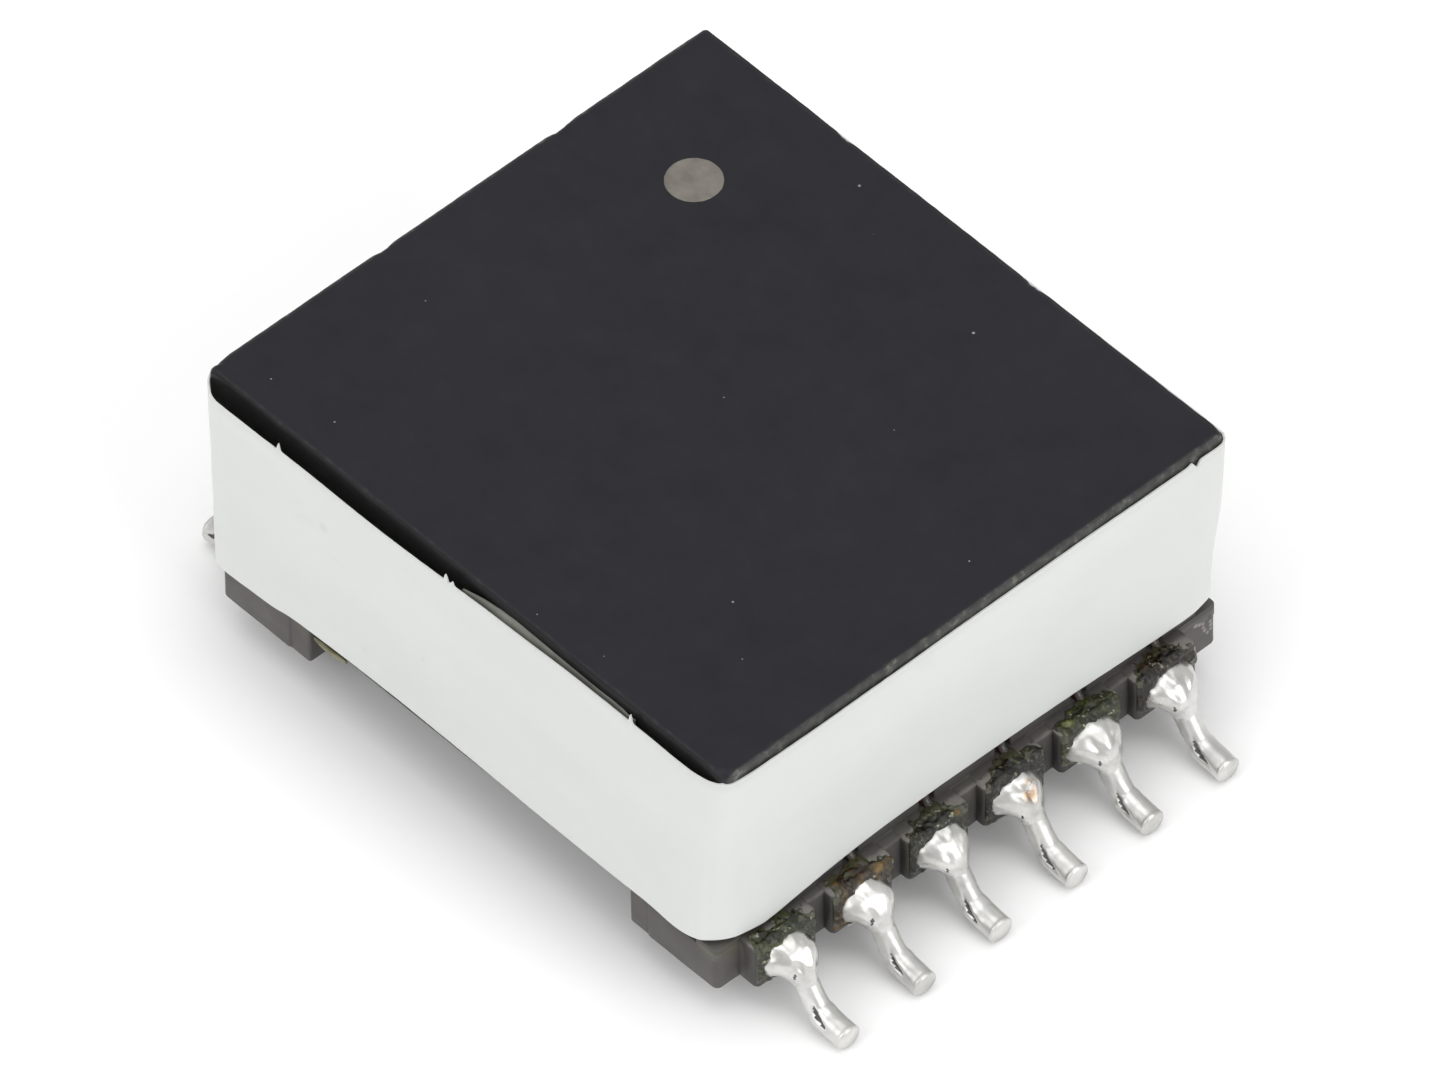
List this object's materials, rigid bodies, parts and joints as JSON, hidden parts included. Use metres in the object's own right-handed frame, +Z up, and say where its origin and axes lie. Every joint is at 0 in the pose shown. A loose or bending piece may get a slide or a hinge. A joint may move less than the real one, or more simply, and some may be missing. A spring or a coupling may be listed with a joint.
{
  "type": "pcb transformer",
  "caption": "Low surface-mount power transformer: ferrite core with a tape belt on a moulded former, windings inside, round-wire gull-wing terminals along two sides.",
  "frame": {"origin": "on the board plane that the feet rest on, at the middle of the part's outline seen from above", "axes": "+Z up, away from the board; X across the two rows of terminals, from foot tip to foot tip; Y along the rows"},
  "size_m": [0.0274, 0.0203, 0.0106],
  "materials": {
    "ferrite": "satin",
    "white_tape": "satin",
    "former_plastic": "matte",
    "coil_tape": "satin",
    "dot_paint": "matte",
    "glue": "gloss",
    "flux": "gloss",
    "enamelled_copper": "gloss",
    "tinned_wire": "satin",
    "solder": "gloss"
  },
  "bodies": {
    "root": {"core_top_half": "ferrite", "core_bottom_half": "ferrite", "core_tape_belt": "white_tape", "coil_former": "former_plastic", "coil_wrap_tape": "coil_tape", "pin_one_dot": "dot_paint", "adhesive_bead": "glue", "flux_residue_front": "flux", "flux_residue_rear": "flux", "winding_1": "enamelled_copper", "winding_2": "enamelled_copper", "winding_3": "enamelled_copper", "winding_4": "enamelled_copper", "winding_5": "enamelled_copper", "winding_6": "enamelled_copper", "terminal_1": "tinned_wire", "terminal_2": "tinned_wire", "terminal_3": "tinned_wire", "terminal_4": "tinned_wire", "terminal_5": "tinned_wire", "terminal_6": "tinned_wire", "terminal_7": "tinned_wire", "terminal_8": "tinned_wire", "terminal_9": "tinned_wire", "terminal_10": "tinned_wire", "terminal_11": "tinned_wire", "terminal_12": "tinned_wire", "solder_joint_1": "solder", "solder_joint_2": "solder", "solder_joint_3": "solder", "solder_joint_4": "solder", "solder_joint_5": "solder", "solder_joint_6": "solder", "solder_joint_7": "solder", "solder_joint_8": "solder", "solder_joint_9": "solder", "solder_joint_10": "solder", "solder_joint_11": "solder", "solder_joint_12": "solder"}
  },
  "joints": []
}
